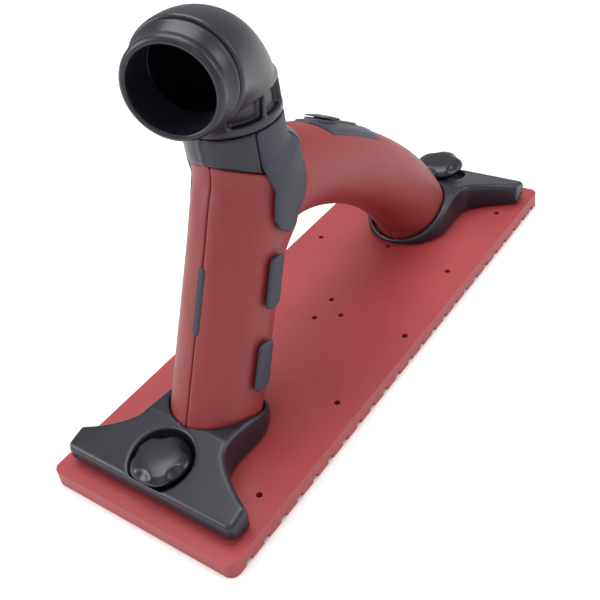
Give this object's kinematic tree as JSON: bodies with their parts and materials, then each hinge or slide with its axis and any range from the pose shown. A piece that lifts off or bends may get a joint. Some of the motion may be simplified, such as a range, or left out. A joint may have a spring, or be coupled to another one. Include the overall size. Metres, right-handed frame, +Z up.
{
  "type": "vacuum hand sander",
  "caption": "Drywall hand sander: flat suction plate with sheet clamps, a leaning hollow column, an arched handle and a swivelling vacuum hose elbow.",
  "frame": {"origin": "middle of the plate's underside, on its working face", "axes": "+X along the plate towards the arch's front foot, +Y to the tool's left, +Z up from the work surface"},
  "size_m": [0.235, 0.0826, 0.1561],
  "materials": {
    "red_plastic": "satin moulded, fine texture",
    "black_plastic": "satin moulded, fine texture",
    "grey_plastic": "matt",
    "grip_rubber": "matt soft grip",
    "seal_rubber": "matt",
    "steel": "zinc plated"
  },
  "bodies": {
    "sander": {"base_plate": "red_plastic", "channel_plate": "red_plastic", "plate_screw_1": "steel", "plate_screw_2": "steel", "plate_screw_3": "steel", "plate_screw_4": "steel", "plate_screw_5": "steel", "plate_screw_6": "steel", "foot_bolt_1": "steel", "foot_bolt_2": "steel", "foot_bolt_3": "steel", "foot_bolt_4": "steel", "handle_right": "red_plastic", "handle_left": "red_plastic", "handle_screw_1": "steel", "handle_screw_2": "steel", "rear_grip_pad": "grip_rubber", "upper_grip_pad_right": "grip_rubber", "upper_grip_pad_left": "grip_rubber", "lower_grip_pad_right": "grip_rubber", "lower_grip_pad_left": "grip_rubber", "web_pad_right": "grip_rubber", "web_pad_left": "grip_rubber", "dust_tube": "grey_plastic", "slider_bezel": "grey_plastic", "slider_track": "black_plastic", "swivel_collar": "black_plastic", "swivel_clip": "steel", "rear_clamp_nut": "steel", "rear_lift_spring": "steel", "front_clamp_nut": "steel", "front_lift_spring": "steel"},
    "elbow": {"hose_elbow": "black_plastic", "swivel_seal": "seal_rubber"},
    "cuff": {"hose_cuff": "black_plastic", "cuff_seal": "seal_rubber"},
    "airflow": {"airflow_slider": "black_plastic", "airflow_shutter": "black_plastic"},
    "rear_jaw": {"rear_clamp_jaw": "black_plastic"},
    "rear_knob": {"rear_knob": "black_plastic", "rear_clamp_stud": "steel", "rear_knob_washer": "steel"},
    "front_jaw": {"front_clamp_jaw": "black_plastic"},
    "front_washer": {"front_knob_washer": "steel"},
    "front_knob": {"front_knob": "black_plastic", "front_clamp_stud": "steel"}
  },
  "joints": [
    {"name": "elbow_swivel", "type": "hinge", "parent": "sander", "child": "elbow", "pos_m": [-0.0334, 0, 0.1128], "axis": [0, 0, 1], "continuous": true},
    {"name": "cuff_spin", "type": "hinge", "parent": "elbow", "child": "cuff", "pos_m": [-0.0334, 0, 0.138], "axis": [-0.9553, -0.2957, 0], "continuous": true},
    {"name": "airflow_slide", "type": "slide", "parent": "sander", "child": "airflow", "axis": [0.8667, 0, -0.4989], "range_m": [0, 0.012]},
    {"name": "rear_jaw_lift", "type": "slide", "parent": "sander", "child": "rear_jaw", "axis": [0, 0, 1], "range_m": [0, 0.0025], "deforming": ["rear_lift_spring"]},
    {"name": "front_jaw_lift", "type": "slide", "parent": "sander", "child": "front_jaw", "axis": [0, 0, 1], "range_m": [0, 0.0025], "deforming": ["front_lift_spring"]},
    {"name": "rear_knob_turn", "type": "hinge", "parent": "rear_jaw", "child": "rear_knob", "pos_m": [-0.1004, 0, 0.015], "axis": [0, 0, 1], "range_deg": [0, 900]},
    {"name": "front_washer_travel", "type": "slide", "parent": "sander", "child": "front_washer", "axis": [0, 0, 1], "range_m": [-0.0044, 0]},
    {"name": "front_knob_turn", "type": "hinge", "parent": "front_washer", "child": "front_knob", "pos_m": [0.1004, 0, 0.02], "axis": [0, 0, 1], "range_deg": [-1584, 0]}
  ],
  "couplings": [
    {"joint": "rear_knob_turn", "follows": "rear_jaw_lift", "rad_per_m": 6283.2},
    {"joint": "front_washer_travel", "follows": "front_knob_turn", "m_per_rad": 0.00015915}
  ]
}
